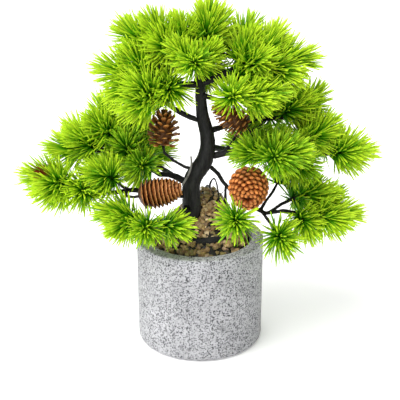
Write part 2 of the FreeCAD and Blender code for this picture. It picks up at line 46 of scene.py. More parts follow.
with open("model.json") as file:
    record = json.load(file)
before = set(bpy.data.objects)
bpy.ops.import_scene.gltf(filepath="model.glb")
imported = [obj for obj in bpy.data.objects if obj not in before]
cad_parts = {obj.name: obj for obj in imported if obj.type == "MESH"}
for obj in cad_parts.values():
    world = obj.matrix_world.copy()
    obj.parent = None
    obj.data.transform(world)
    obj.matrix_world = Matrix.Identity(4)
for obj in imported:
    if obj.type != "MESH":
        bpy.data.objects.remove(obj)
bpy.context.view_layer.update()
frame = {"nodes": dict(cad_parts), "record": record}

MM = 0.001
GOLDEN_TURN = math.radians(137.508)
BARK_NODES = [
    "trunk", "left_limb", "left_upper_limb", "left_front_limb", "right_limb", "right_low_limb",
    "back_left_limb", "back_right_limb", "crown_left_branch", "crown_upper_left_branch",
    "crown_front_branch", "crown_right_branch", "crown_back_right_branch", "crown_back_branch",
    "left_bough", "right_front_bough", "right_back_bough", "upright_cone_stalk",
]
ROOT_NODES = ["surface_root", "gravel_twig", "pin_twig", "loop_twig"]
SPRIG_NODES = sorted(name for name in frame["nodes"] if name.endswith("_sprigs"))
# How long the needles of a group are against the full length, where they are shorter.
NEEDLE_SHARE = {
    "crown_front_sprigs": 0.76,
    "right_front_bough_sprigs": 0.86,
    "left_front_limb_sprigs": 0.88,
    "left_upper_limb_inner_sprigs": 0.92,
    "right_limb_inner_sprigs": 0.95,
    "right_low_limb_inner_sprigs": 0.95,
}
# How much lighter and yellower (above 0, painted light on the outer and upper groups) or
# darker (below 0, painted shade on the inner and lower groups) the green of a group is.
PAINTED_LIGHT = {
    "left_upper_limb_inner_sprigs": -0.30,
    "right_limb_inner_sprigs": -0.30,
    "right_low_limb_inner_sprigs": -0.22,
    "right_front_bough_sprigs": -0.05,
    "left_front_limb_sprigs": -0.06,
    "left_limb_inner_sprigs": 0.08,
    "left_limb_outer_sprigs": 0.12,
    "left_upper_limb_outer_sprigs": 0.10,
    "right_limb_outer_sprigs": 0.16,
    "right_back_bough_sprigs": 0.10,
    "crown_front_sprigs": 0.04,
    "crown_left_sprigs": 0.14,
    "crown_upper_left_sprigs": 0.16,
    "crown_right_sprigs": 0.14,
    "crown_back_sprigs": 0.16,
    "leader_sprigs": 0.18,
}
CONE_NODES = ["upright_cone", "golden_cone", "ball_cone", "low_cone"]
BODY_OF = {
    name: body for body, names in frame["record"]["behaviour"]["bodies"].items() for name in names
}

# Reading the CAD: points of a mesh closer than the first are one, and points of a sprig this
# near to its far end make its foot.
MERGE_DISTANCE = 0.002 * MM
FOOT_REACH = 2.4 * MM

# Drawing a form out: a face is its top when it points up by this much and lies level with it.
UPWARD, LEVEL_SLACK = 0.7, 1e-5

# Edges flatter than these look smooth.
PEBBLE_ANGLE, BARK_ANGLE = math.radians(48), math.radians(80)
NEEDLE_ANGLE, CONE_ANGLE = math.radians(50), math.radians(42)

# Gravel: forms of pebble, cuts on each and how far its edges are worn, the gap to the bed's
# edge, and where the outermost pebbles start and how many of them are made nearly black, as
# painted shade at the gravel's edge.
PEBBLE_FORMS, PEBBLE_CUTS, WORN_EDGE = 7, 9, 0.06
GRAVEL_GAP = 1.4 * MM
OUTERMOST, PAINTED_SHADE_SHARE = 0.93, 0.45

# Bark: the voxel of the even mesh, the share of the grain's full depth, and the spacing and
# lengthwise squeeze of its ridges.
TRUNK_GRAIN = (0.9 * MM, 1.0, 3.4 * MM, 0.22)
LIMB_GRAIN = (0.6 * MM, 0.42, 1.8 * MM, 0.3)
TWIG_GRAIN = (0.55 * MM, 0.28, 1.8 * MM, 0.3)
SMOOTHING_ROUNDS = 2
# Its relief adds sharp ridges and broad knots, and is sunk so that it stays near the CAD.
RIDGE_SHARPNESS, RIDGE_SHARE = 2.6, 0.55
KNOT_SCALE, KNOT_SHARE = 0.32, 0.8
KNOT_SHIFT = Vector((7.0, 3.0, 5.0))
SUNK_SHARE = 0.5

# Sprigs: the stalk's size and how many millimetres its foot is sunk, the heights in
# millimetres that the fan of needles leaves it over, and the thin whorl at its foot, with one
# needle for so many in the fan.
STALK_SIZE = (2.0 * MM, 2.0 * MM, 18 * MM)
STALK_SUNK = 0.6
FAN_TOP, FAN_SPAN = 13.5, 11.5
WHORL_PART, WHORL_LENGTH = 4, 0.84
# Red-brown buds: their place in the left limb's outer tuft, their reach, and the tint that
# marks them for the shader.
BUD_INWARD, BUD_ABOVE, BUD_REACH = 22 * MM, 4 * MM, 9 * MM
BUD_TINT = 2.0
# Needles keep clear of ovals round each cone and before it, in millimetres towards the camera.
CONE_MARGIN = Vector((2, 2, 2)) * MM
TO_CAMERA = Vector((0.0, -0.93, 0.37))
CLEAR_STEPS, CLEAR_TAPER = (0, 12, 24, 36), 0.006
STRIKE_STEPS = 6

# Cones: how thin and how tall the core is that fills the space behind the scales.
CORE_GIRTH, CORE_HEIGHT = 0.55, 0.96

# Studio: the height that the camera looks at, its sensor, the floor, and how much stronger or
# weaker the sky is to the left and to the right.
LOOK_HEIGHT = 0.1274
SENSOR_WIDTH = 36.0
FLOOR_WIDTH, FLOOR_GAP = 9.0, 0.2 * MM
SKY_LEFT, SKY_RIGHT = 1.5, 0.24


# Sizes and colours that a user would change ---------------------------------------------------

class PotSettings(bpy.types.PropertyGroup):
    speck_size: FloatProperty(
        name="Speck size", description="Spacing of the dark specks in the cast stone",
        default=1.6 * MM, min=0.5 * MM, max=6 * MM, unit="LENGTH", precision=4)
    stone_colour: FloatVectorProperty(
        name="Stone", description="Colour of the stone between its specks",
        default=(0.49, 0.49, 0.512), min=0.0, max=1.0, size=3, subtype="COLOR")
    speck_colour: FloatVectorProperty(
        name="Specks", description="Colour of the darkest specks",
        default=(0.02, 0.02, 0.024), min=0.0, max=1.0, size=3, subtype="COLOR")


class GravelSettings(bpy.types.PropertyGroup):
    pebble_size: FloatProperty(
        name="Pebble size", description="Mean size of one pebble across",
        default=3.9 * MM, min=1 * MM, max=10 * MM, unit="LENGTH", precision=4)
    pebbles: IntProperty(
        name="Pebbles", description="How many pebbles are glued on the gravel bed",
        default=900, min=50, max=3000)


class BarkSettings(bpy.types.PropertyGroup):
    grain_depth: FloatProperty(
        name="Grain depth", description="Height of the bark's ridges on the trunk",
        default=0.75 * MM, min=0.0, max=3 * MM, unit="LENGTH", precision=4)
    bark_colour: FloatVectorProperty(
        name="Bark", description="Colour of the moulded bark",
        default=(0.0130, 0.0132, 0.0128), min=0.0, max=1.0, size=3, subtype="COLOR")


class NeedleSettings(bpy.types.PropertyGroup):
    needles: IntProperty(
        name="Needles", description="Needles on one sprig", default=150, min=10, max=300)
    length: FloatProperty(
        name="Length", description="Length of a full needle",
        default=27.5 * MM, min=5 * MM, max=60 * MM, unit="LENGTH", precision=4)
    width: FloatProperty(
        name="Width", description="Width of a needle at its widest",
        default=1.5 * MM, min=0.2 * MM, max=4 * MM, unit="LENGTH", precision=4)
    spread: FloatProperty(
        name="Spread", description="Widest angle between a needle and its sprig's stalk",
        default=math.radians(62), min=0.2, max=1.6, subtype="ANGLE")
    deep_colour: FloatVectorProperty(
        name="Deep green", description="Colour at the foot of the needles",
        default=(0.022, 0.12, 0.005), min=0.0, max=1.0, size=3, subtype="COLOR")
    fresh_colour: FloatVectorProperty(
        name="Fresh green", description="Colour of the needles near their tips",
        default=(0.58, 0.80, 0.030), min=0.0, max=1.0, size=3, subtype="COLOR")


class ConeSettings(bpy.types.PropertyGroup):
    scales: IntProperty(
        name="Scales", description="Scales on one open pine cone", default=64, min=20, max=200)
    tight_scales: IntProperty(
        name="Tight scales", description="Scales on one closed pine cone",
        default=132, min=20, max=300)
    brown_colour: FloatVectorProperty(
        name="Brown scales", description="Colour of the darker cones",
        default=(0.27, 0.082, 0.016), min=0.0, max=1.0, size=3, subtype="COLOR")
    golden_colour: FloatVectorProperty(
        name="Golden scales", description="Colour of the lighter cones",
        default=(0.44, 0.165, 0.028), min=0.0, max=1.0, size=3, subtype="COLOR")
    orange_colour: FloatVectorProperty(
        name="Orange", description="Colour of the round cone",
        default=(0.44, 0.118, 0.022), min=0.0, max=1.0, size=3, subtype="COLOR")


class StudioSettings(bpy.types.PropertyGroup):
    elevation: FloatProperty(
        name="Camera elevation", description="How far the camera looks down",
        default=math.radians(21.4), min=0.0, max=1.5, subtype="ANGLE")
    distance: FloatProperty(
        name="Camera distance", description="From the camera to the middle of the tree",
        default=0.811, min=0.3, max=3.0, unit="LENGTH")
    lens: FloatProperty(
        name="Lens", description="Focal length of the camera", default=85.0, min=20.0, max=200.0,
        unit="CAMERA")
    key_strength: FloatProperty(
        name="Key light", description="Strength of the light from the upper left",
        default=2.6, min=0.0, max=20.0)
    sky_strength: FloatProperty(
        name="Sky light", description="Strength of the even light from all sides",
        default=0.74, min=0.0, max=5.0)
    floor_colour: FloatVectorProperty(
        name="Floor", description="Colour of the floor",
        default=(0.93, 0.93, 0.93), min=0.0, max=1.0, size=3, subtype="COLOR")


SETTINGS = {
    "pine_pot": PotSettings,
    "pine_gravel": GravelSettings,
    "pine_bark": BarkSettings,
    "pine_needles": NeedleSettings,
    "pine_cones": ConeSettings,
    "pine_studio": StudioSettings,
}


# Selecting and shaping ------------------------------------------------------------------------

def select_nothing():
    for item in list(bpy.context.selected_objects):
        item.select_set(False)
    bpy.context.view_layer.objects.active = None


def select_only(piece):
    select_nothing()
    piece.select_set(True)
    bpy.context.view_layer.objects.active = piece


def edit(piece):
    select_only(piece)
    bpy.ops.object.mode_set(mode="EDIT")
    bpy.ops.mesh.select_mode(type="FACE")


def leave_edit():
    bpy.ops.object.mode_set(mode="OBJECT")


def pick_faces(piece, wanted):
    """Selects the faces of a piece in edit mode that pass a test, and no others."""
    bpy.ops.mesh.select_all(action="DESELECT")
    form = bmesh.from_edit_mesh(piece.data)
    form.faces.ensure_lookup_table()
    for face in form.faces:
        if wanted(face):
            face.select_set(True)
    bmesh.update_edit_mesh(piece.data)


def bake_place(piece):
    select_only(piece)
    bpy.ops.object.transform_apply(location=True, rotation=True, scale=True)


def apply_modifiers(piece):
    select_only(piece)
    for modifier in list(piece.modifiers):
        bpy.ops.object.modifier_apply(modifier=modifier.name)


def copy_of_node(node, name):
    """A merged copy of a CAD node's mesh as a new piece."""
    source = frame["nodes"][node]
    piece = bpy.data.objects.new(name, source.data.copy())
    bpy.context.scene.collection.objects.link(piece)
    piece.data.materials.clear()
    for layer in list(piece.data.uv_layers):
        piece.data.uv_layers.remove(layer)
    edit(piece)
    bpy.ops.mesh.select_all(action="SELECT")
    bpy.ops.mesh.remove_doubles(threshold=MERGE_DISTANCE)
    bpy.ops.mesh.customdata_custom_splitnormals_clear()
    leave_edit()
    return piece


def stretch_top(piece, height, step, girth, shift=0.0):
    """Draws the top face of an upright piece out by one step and makes it wider or thinner."""
    def is_top(face):
        return face.normal.z > UPWARD and face.calc_center_median().z > height - LEVEL_SLACK

    pick_faces(piece, is_top)
    bpy.ops.mesh.extrude_region_move(TRANSFORM_OT_translate={"value": (0.0, shift, step)})
    bpy.ops.transform.resize(
        value=(girth[0], girth[1], 1.0), center_override=(0.0, shift, height + step))


def draw_out(name, sides, foot, stations):
    """An upright form of unit height: a flattened prism drawn out station by station.

    foot is (width, thickness); each station is (height, width, thickness, shift).
    """
    select_nothing()
    first = stations[0][0] * 0.5
    bpy.ops.mesh.primitive_cylinder_add(
        vertices=sides, radius=0.5, depth=first, location=(0.0, 0.0, first / 2))
    piece = bpy.context.active_object
    piece.name = name
    bake_place(piece)
    edit(piece)
    bpy.ops.mesh.select_all(action="SELECT")
    bpy.ops.transform.resize(value=(foot[0], foot[1], 1.0), center_override=(0.0, 0.0, 0.0))
    height, width, thickness, lean = first, foot[0], foot[1], 0.0
    for reach, next_width, next_thickness, next_lean in stations:
        girth = (next_width / width, next_thickness / thickness)
        stretch_top(piece, height, reach - height, girth, next_lean - lean)
        height, width, thickness, lean = reach, next_width, next_thickness, next_lean
    leave_edit()
    return piece


class Pattern:
    """A small form modelled once, kept as points and faces, and then copied."""

    def __init__(self, piece):
        mesh = piece.data
        self.points = np.array([vertex.co for vertex in mesh.vertices], float)
        self.faces = [tuple(face.vertices) for face in mesh.polygons]
        bpy.data.objects.remove(piece)
        bpy.data.meshes.remove(mesh)


class Heap:
    """Copies of patterns gathered into one piece, with two values kept at each point."""

    def __init__(self):
        self.points, self.faces, self.along, self.tint = [], [], [], []
        self.count = 0

    def add(self, pattern, turn, place, size=(1.0, 1.0, 1.0), bend=0.0, tint=0.5, along=None):
        """Adds a copy: scaled, bent sideways over its length, turned and moved."""
        points = pattern.points * np.array(size)
        reach = pattern.points[:, 2]
        points[:, 1] += bend * reach ** 2 * size[2]
        self.points.append(points @ np.array(turn.transposed()) + np.array(place))
        self.faces.extend(tuple(i + self.count for i in face) for face in pattern.faces)
        self.along.append(reach if along is None else np.full(len(reach), along))
        self.tint.append(np.full(len(reach), tint))
        self.count += len(points)

    def piece(self, name):
        mesh = bpy.data.meshes.new(name)
        mesh.from_pydata(np.concatenate(self.points).tolist(), [], self.faces)
        for label, values in (("along", self.along), ("tint", self.tint)):
            attribute = mesh.attributes.new(label, "FLOAT", "POINT")
            attribute.data.foreach_set("value", np.concatenate(values).astype(np.float32))
        mesh.update()
        piece = bpy.data.objects.new(name, mesh)
        bpy.context.scene.collection.objects.link(piece)
        return piece


def turn_to(direction, roll=0.0):
    """The turn that stands an upright form along a direction, rolled about it first."""
    return (Vector(direction).to_track_quat("Z", "Y").to_matrix() @ Matrix.Rotation(roll, 3, "Z"))


def thin_about(axis, across, along):
    """A scaling that thins a form about an axis."""
    thin = Matrix.Identity(4) * across
    thin[3][3] = 1.0
    for row in range(3):
        for column in range(3):
            thin[row][column] += (along - across) * axis[row] * axis[column]
    return thin


def points_of(mesh):
    points = np.zeros(len(mesh.vertices) * 3, np.float32)
    mesh.vertices.foreach_get("co", points)
    return points.reshape(-1, 3)


def lengthwise(spread):
    """The direction along which a form is longest, from its points round their middle."""
    return np.linalg.eigh(spread.T @ spread)[1][:, 2]


def mark_points(piece, **values):
    """Keeps one value at every point of a piece, under each name given."""
    for label, value in values.items():
        attribute = piece.data.attributes.new(label, "FLOAT", "POINT")
        attribute.data.foreach_set("value", [value] * len(piece.data.vertices))


def islands(node):
    """The separate solids of a CAD node, each as its points and its centre of surface."""
    mesh = frame["nodes"][node].data
    points = points_of(mesh).astype(float)
    corners = np.zeros(len(mesh.loops), np.int32)
    mesh.loops.foreach_get("vertex_index", corners)
    merged, index = np.unique(np.round(points, 6), axis=0, return_inverse=True)
    triangles = index.reshape(-1)[corners.reshape(-1, 3)]
    label = np.arange(len(merged))
    while True:
        lowest = label[triangles].min(axis=1)
        update = label.copy()
        for corner in range(3):
            np.minimum.at(update, triangles[:, corner], lowest)
        update = update[update]
        if (update == label).all():
            break
        label = update
    found = []
    for solid in np.unique(label):
        own = triangles[label[triangles[:, 0]] == solid]
        a, b, c = (merged[own[:, corner]] for corner in range(3))
        area = np.linalg.norm(np.cross(b - a, c - a), axis=1)
        centre = ((a + b + c) / 3 * area[:, None]).sum(axis=0) / area.sum()
        found.append((merged[label == solid], centre))
    return found


def foot_and_heading(points, centre):
    """Where the stalk of a solid starts, and the way that it points."""
    distance = np.linalg.norm(points - centre, axis=1)
    far = points[distance.argmax()]
    foot = points[np.linalg.norm(points - far, axis=1) < FOOT_REACH].mean(axis=0)
    heading = Vector(centre - foot).normalized()
    return Vector(foot), heading


# Materials ------------------------------------------------------------------------------------

def put(tree, kind, values=None, **settings):
    """Adds a node with its settings and the values of its inputs."""
    node = tree.nodes.new(kind)
    for name, value in settings.items():
        setattr(node, name, value)
    for name, value in (values or {}).items():
        node.inputs[name].default_value = value
    return node


def join(tree, *pairs):
    """Links outputs to inputs, given as (node, output, node, input)."""
    for source, output, target, entry in pairs:
        tree.links.new(source.outputs[output], target.inputs[entry])


def shade(rgb, share):
    return (rgb[0] * share, rgb[1] * share, rgb[2] * share, 1.0)


def ramp(tree, stops):
    """A colour ramp with the given (place, colour) stops."""
    node = tree.nodes.new("ShaderNodeValToRGB")
    elements = node.color_ramp.elements
    elements[0].position, elements[0].color = stops[0]
    elements[1].position, elements[1].color = stops[-1]
    for position, tone in stops[1:-1]:
        elements.new(position).color = tone
    return node


def mix(tree, blend="MIX", factor=0.5):
    node = put(tree, "ShaderNodeMix", data_type="RGBA", blend_type=blend)
    node.inputs[0].default_value = factor
    return node


# The colour sockets of a mix node: its two inputs and its output.
FIRST, SECOND, MIXED = 6, 7, 2


def finish_named(name, roughness, **constants):
    """A new material with its shader, whose constant values are on the shader itself."""
    material = bpy.data.materials.new(name)
    material.use_nodes = True
    shader = material.node_tree.nodes["Principled BSDF"]
    shader.inputs["Roughness"].default_value = roughness
    for entry, value in constants.items():
        shader.inputs[entry.replace("_", " ")].default_value = value
    return material, material.node_tree, shader


def mottle_group():
    """Fine and broad mottling shared by the finishes: a tone from 0 to 1, and a relief."""
    name = "Mottle"
    if name in bpy.data.node_groups:
        return bpy.data.node_groups[name]
    group = bpy.data.node_groups.new(name, "ShaderNodeTree")
    for entry, kind in (("Vector", "NodeSocketVector"), ("Broad", "NodeSocketFloat"),
                        ("Fine", "NodeSocketFloat")):
        group.interface.new_socket(name=entry, in_out="INPUT", socket_type=kind)
    for exit_name in ("Tone", "Relief"):
        group.interface.new_socket(name=exit_name, in_out="OUTPUT", socket_type="NodeSocketFloat")
    entry = group.nodes.new("NodeGroupInput")
    exit_node = group.nodes.new("NodeGroupOutput")
    broad = put(group, "ShaderNodeTexNoise", {"Detail": 3.0, "Roughness": 0.55})
    fine = put(group, "ShaderNodeTexNoise", {"Detail": 6.0, "Roughness": 0.65})
    both = put(group, "ShaderNodeMath", operation="MULTIPLY_ADD")
    both.inputs[1].default_value = 0.45
    half = put(group, "ShaderNodeMath", operation="MULTIPLY")
    half.inputs[1].default_value = 0.55
    join(
        group,
        (entry, "Vector", broad, "Vector"), (entry, "Vector", fine, "Vector"),
        (entry, "Broad", broad, "Scale"), (entry, "Fine", fine, "Scale"),
        (broad, "Fac", half, 0), (fine, "Fac", both, 0), (half, 0, both, 2),
        (both, 0, exit_node, "Tone"), (fine, "Fac", exit_node, "Relief"),
    )
    return group


def mottle(tree, source, output, broad, fine):
    node = tree.nodes.new("ShaderNodeGroup")
    node.node_tree = mottle_group()
    node.inputs["Broad"].default_value = broad
    node.inputs["Fine"].default_value = fine
    tree.links.new(source.outputs[output], node.inputs["Vector"])
    return node


def relief(tree, shader, source, output, strength, distance):
    bump = put(tree, "ShaderNodeBump", {"Strength": strength, "Distance": distance})
    join(tree, (source, output, bump, "Height"), (bump, "Normal", shader, "Normal"))


def speckled_stone(settings):
    """Pale cast stone with black and grey specks of several sizes."""
    material, tree, shader = finish_named("speckled_stone", 0.62)
    place = put(tree, "ShaderNodeTexCoord")
    wobble = put(tree, "ShaderNodeTexNoise", {"Scale": 900.0, "Detail": 2.0})
    shifted = put(tree, "ShaderNodeVectorMath", operation="MULTIPLY_ADD")
    shifted.inputs[1].default_value = (1.3 * MM, 1.3 * MM, 1.3 * MM)
    join(tree, (place, "Object", wobble, "Vector"), (wobble, "Color", shifted, 0),
         (place, "Object", shifted, 2))
    ground = mottle(tree, place, "Object", 45.0, 700.0)
    base = ramp(tree, [(0.35, shade(settings.stone_colour, 0.8)),
                       (0.62, shade(settings.stone_colour, 1.12))])
    join(tree, (ground, "Tone", base, 0))
    last, exit_name = base, 0
    # spacing against the speck size, share of cells with a speck, its reach, shift and tone
    layers = [
        (1.1, 0.66, 0.54, 0.0, (0.25, 0.25, 0.265, 1.0)),
        (0.75, 0.56, 0.54, 0.37, (0.10, 0.10, 0.11, 1.0)),
        (0.85, 0.50, 0.50, 0.71, shade(settings.speck_colour, 1.0)),
    ]
    for spacing, share, reach, offset, tone in layers:
        moved = put(tree, "ShaderNodeVectorMath", operation="ADD")
        moved.inputs[1].default_value = (offset, offset * 0.5, offset * 0.25)
        cells = put(tree, "ShaderNodeTexVoronoi",
                    {"Scale": 1.0 / (settings.speck_size * spacing), "Randomness": 1.0})
        pick = put(tree, "ShaderNodeSeparateColor")
        chosen = put(tree, "ShaderNodeMath", operation="LESS_THAN")
        chosen.inputs[1].default_value = share
        size = put(tree, "ShaderNodeMath", operation="MULTIPLY_ADD")
        size.inputs[1].default_value = reach * 0.7
        size.inputs[2].default_value = reach * 0.45
        inside = put(tree, "ShaderNodeMath", operation="SUBTRACT")
        soft = put(tree, "ShaderNodeMapRange", {"From Min": -0.02, "From Max": 0.12})
        mask = put(tree, "ShaderNodeMath", operation="MULTIPLY")
        over = mix(tree)
        over.inputs[SECOND].default_value = tone
        join(
            tree,
            (shifted, 0, moved, 0), (moved, 0, cells, "Vector"), (cells, "Color", pick, 0),
            (pick, "Red", chosen, 0), (pick, "Green", size, 0), (size, 0, inside, 0),
            (cells, "Distance", inside, 1), (inside, 0, soft, "Value"), (soft, 0, mask, 0),
            (chosen, 0, mask, 1), (mask, 0, over, 0), (last, exit_name, over, FIRST),
        )
        last, exit_name = over, MIXED
    join(tree, (last, exit_name, shader, "Base Color"))
    relief(tree, shader, ground, "Relief", 0.25, 0.15 * MM)
    return material


def bark(settings, name, light):
    """Charcoal moulded bark with painted highlights on its ridges and painted shade in its
    grooves.
    """
    material, tree, shader = finish_named(name, 0.5, Specular_IOR_Level=0.24)
    grain = put(tree, "ShaderNodeAttribute", attribute_name="grain")
    rough = mottle(tree, grain, "Vector", 260.0, 1400.0)
    # The tone that colours the bark is also the height of its relief, so its streaks follow the
    # grain, with painted highlights on the ridges and painted shade in the grooves; light is the
    # painted highlight's brightness.
    tone = ramp(tree, [
        (0.38, shade(settings.bark_colour, 0.3)),
        (0.50, shade(settings.bark_colour, 1.2)),
        (0.62, shade(settings.bark_colour, light)),
    ])
    polish = put(tree, "ShaderNodeMapRange", {"To Min": 0.70, "To Max": 0.40})
    join(tree, (rough, "Tone", tone, 0), (tone, 0, shader, "Base Color"),
         (rough, "Tone", polish, "Value"), (polish, 0, shader, "Roughness"))
    relief(tree, shader, rough, "Tone", 0.9, 0.8 * MM)
    return material


def plain_mottled(name, dark, light, roughness, broad, fine, depth, **constants):
    """A finish that runs between two tones, with fine relief."""
    material, tree, shader = finish_named(name, roughness, **constants)
    place = put(tree, "ShaderNodeTexCoord")
    rough = mottle(tree, place, "Object", broad, fine)
    tone = ramp(tree, [(0.33, dark), (0.66, light)])
    join(tree, (rough, "Tone", tone, 0), (tone, 0, shader, "Base Color"))
    relief(tree, shader, rough, "Relief", 0.5, depth)
    return material


def needle_plastic(settings):
    """Satin plastic needles: brown stalk, deep green foot, yellow-green towards the tip."""
    material, tree, shader = finish_named("needles", 0.46, Specular_IOR_Level=0.16)
    along = put(tree, "ShaderNodeAttribute", attribute_name="along")
    tint = put(tree, "ShaderNodeAttribute", attribute_name="tint")
    place = put(tree, "ShaderNodeTexCoord")
    patch = mottle(tree, place, "Object", 28.0, 420.0)
    deep, fresh = settings.deep_colour, settings.fresh_colour
    stalk = (0.10, 0.06, 0.02, 1.0)
    lighter_green = ramp(tree, [
        (0.0, stalk), (0.03, shade(deep, 0.8)), (0.2, (0.045, 0.26, 0.004, 1.0)),
        (0.45, (0.13, 0.46, 0.005, 1.0)), (0.72, shade(fresh, 0.82)), (1.0, shade(fresh, 1.25)),
    ])
    darker_green = ramp(tree, [
        (0.0, stalk), (0.03, shade(deep, 0.55)), (0.35, (0.028, 0.20, 0.006, 1.0)),
        (0.75, (0.075, 0.37, 0.010, 1.0)), (1.0, (0.26, 0.60, 0.03, 1.0)),
    ])
    # The tint picks between the lighter and darker greens: random tone, broad patches, and the
    # painted light and shade of each group.
    share = put(tree, "ShaderNodeMath", operation="ADD")
    clear = put(tree, "ShaderNodeMapRange", {"From Min": 0.30, "From Max": 1.05})
    blend = mix(tree)
    join(
        tree,
        (along, "Fac", lighter_green, 0), (along, "Fac", darker_green, 0),
        (tint, "Fac", share, 0), (patch, "Tone", share, 1), (share, 0, clear, "Value"),
        (clear, 0, blend, 0), (darker_green, 0, blend, FIRST), (lighter_green, 0, blend, SECOND),
    )
    bud = ramp(tree, [(0.45, (0.10, 0.30, 0.012, 1.0)), (0.75, (0.22, 0.035, 0.012, 1.0))])
    budded = put(tree, "ShaderNodeMath", operation="GREATER_THAN")
    budded.inputs[1].default_value = BUD_TINT - 0.5
    final = mix(tree)
    join(tree, (along, "Fac", bud, 0), (tint, "Fac", budded, 0), (budded, 0, final, 0),
         (blend, MIXED, final, FIRST), (bud, 0, final, SECOND),
         (final, MIXED, shader, "Base Color"))
    relief(tree, shader, patch, "Relief", 0.15, 0.1 * MM)
    return material


def cone_scales(name, body, rim):
    """Dry woody scales, darkened towards the core as painted shade and pale along the rim."""
    material, tree, shader = finish_named(name, 0.58)
    along = put(tree, "ShaderNodeAttribute", attribute_name="along")
    tint = put(tree, "ShaderNodeAttribute", attribute_name="tint")
    place = put(tree, "ShaderNodeTexCoord")
    fibre = mottle(tree, place, "Object", 240.0, 1500.0)
    # Painted shade: each scale darkens towards its foot, deep in the cone where the scales
    # overlap; the pale rim is the scales' own colour.
    tone = ramp(tree, [
        (0.0, shade(body, 0.22)), (0.45, shade(body, 0.55)), (0.85, shade(body, 1.0)),
        (0.955, shade(rim, 0.65)), (1.0, shade(rim, 1.3)),
    ])
    worn = ramp(tree, [(0.3, (0.72, 0.66, 0.58, 1.0)), (0.7, (1.3, 1.25, 1.15, 1.0))])
    lit = put(tree, "ShaderNodeMapRange", {"To Min": 0.75, "To Max": 1.25})
    over = mix(tree, "MULTIPLY", 1.0)
    varied = mix(tree, "MULTIPLY", 1.0)
    join(
        tree,
        (along, "Fac", tone, 0), (fibre, "Tone", worn, 0), (tone, 0, over, FIRST),
        (worn, 0, over, SECOND), (tint, "Fac", lit, "Value"), (over, MIXED, varied, FIRST),
        (lit, 0, varied, SECOND), (varied, MIXED, shader, "Base Color"),
    )
    relief(tree, shader, fibre, "Relief", 0.6, 0.25 * MM)
    return material


def pebble_stone():
    """River gravel in tan, olive, brown, mauve and grey, one tone a pebble."""
    material, tree, shader = finish_named("gravel", 0.4)
    tint = put(tree, "ShaderNodeAttribute", attribute_name="tint")
    place = put(tree, "ShaderNodeTexCoord")
    grit = mottle(tree, place, "Object", 300.0, 1900.0)
    tones = ramp(tree, [
        (0.0, (0.012, 0.010, 0.008, 1.0)), (0.06, (0.016, 0.013, 0.010, 1.0)),
        (0.12, (0.22, 0.14, 0.055, 1.0)), (0.26, (0.40, 0.28, 0.12, 1.0)),
        (0.38, (0.15, 0.085, 0.055, 1.0)), (0.50, (0.48, 0.35, 0.17, 1.0)),
        (0.62, (0.19, 0.16, 0.055, 1.0)), (0.72, (0.30, 0.22, 0.16, 1.0)),
        (0.82, (0.58, 0.43, 0.21, 1.0)), (0.92, (0.20, 0.115, 0.05, 1.0)),
        (1.0, (0.74, 0.60, 0.36, 1.0)),
    ])
    dust = ramp(tree, [(0.32, (0.85, 0.85, 0.83, 1.0)), (0.68, (1.75, 1.7, 1.6, 1.0))])
    over = mix(tree, "MULTIPLY", 1.0)
    join(tree, (tint, "Fac", tones, 0), (grit, "Tone", dust, 0), (tones, 0, over, FIRST),
         (dust, 0, over, SECOND), (over, MIXED, shader, "Base Color"))
    relief(tree, shader, grit, "Relief", 0.5, 0.3 * MM)
    return material


# Putting pieces on the tree -------------------------------------------------------------------

def settle(piece, node, slot, material, angle=None):
    """Rides a finished piece on the body of the CAD node that it stands for."""
    piece.data.materials.clear()
    piece.data.materials.append(material)
    if angle is not None:
        select_only(piece)
        bpy.ops.object.shade_smooth_by_angle(angle=angle)
    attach(piece, BODY_OF[node])
    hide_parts(node)


def repaint(node, material):
    """Gives a CAD node that is shown as it is a better finish."""
    piece = frame["nodes"][node]
    if not piece.data.materials:
        piece.data.materials.append(material)
    for entry in piece.material_slots:
        entry.material = material


def grain_frame(piece, stretch):
    """Keeps places in a frame squeezed along the piece, so that grain runs lengthwise."""
    mesh = piece.data
    points = points_of(mesh)
    way = lengthwise(points - points.mean(axis=0))
    squeezed = points - np.outer(points @ way, way) * (1.0 - stretch)
    attribute = mesh.attributes.new("grain", "FLOAT_VECTOR", "POINT")
    attribute.data.foreach_set("vector", squeezed.astype(np.float32).ravel())
    return squeezed


def roughen(piece, depth, spacing, stretch):
    """Raises ridges along a piece, as the mould's bark has."""
    squeezed = grain_frame(piece, stretch)
    mesh = piece.data
    normals = [vertex.normal.copy() for vertex in mesh.vertices]
    for vertex, place, normal in zip(mesh.vertices, squeezed, normals):
        spot = Vector(place) / spacing
        ridge = 1.0 - abs(noise.noise(spot)) * RIDGE_SHARPNESS
        knot = noise.noise(spot * KNOT_SCALE + KNOT_SHIFT)
        vertex.co += normal * depth * (RIDGE_SHARE * ridge + KNOT_SHARE * knot - SUNK_SHARE)
    mesh.update()


class PINE_OT_pot(bpy.types.Operator):
    """Gives the pot its speckled stone, and the cup, foam and wire inside it their finishes"""
    bl_idname = "pine.pot"
    bl_label = "Pot and inner parts"

    def execute(self, context):
        repaint("pot", speckled_stone(context.scene.pine_pot))
        repaint("planting_cup", plain_mottled(
            "cup_plastic", (0.006, 0.006, 0.006, 1), (0.02, 0.02, 0.02, 1), 0.42, 90, 900,
            0.1 * MM))
        repaint("foam_anchor", plain_mottled(
            "foam", (0.10, 0.20, 0.10, 1), (0.20, 0.34, 0.18, 1), 0.95, 400, 2600, 0.6 * MM))
        repaint("trunk_stake", plain_mottled(
            "steel", (0.34, 0.34, 0.35, 1), (0.55, 0.55, 0.56, 1), 0.35, 60, 1500, 0.05 * MM,
            Metallic=1.0))
        return {"FINISHED"}


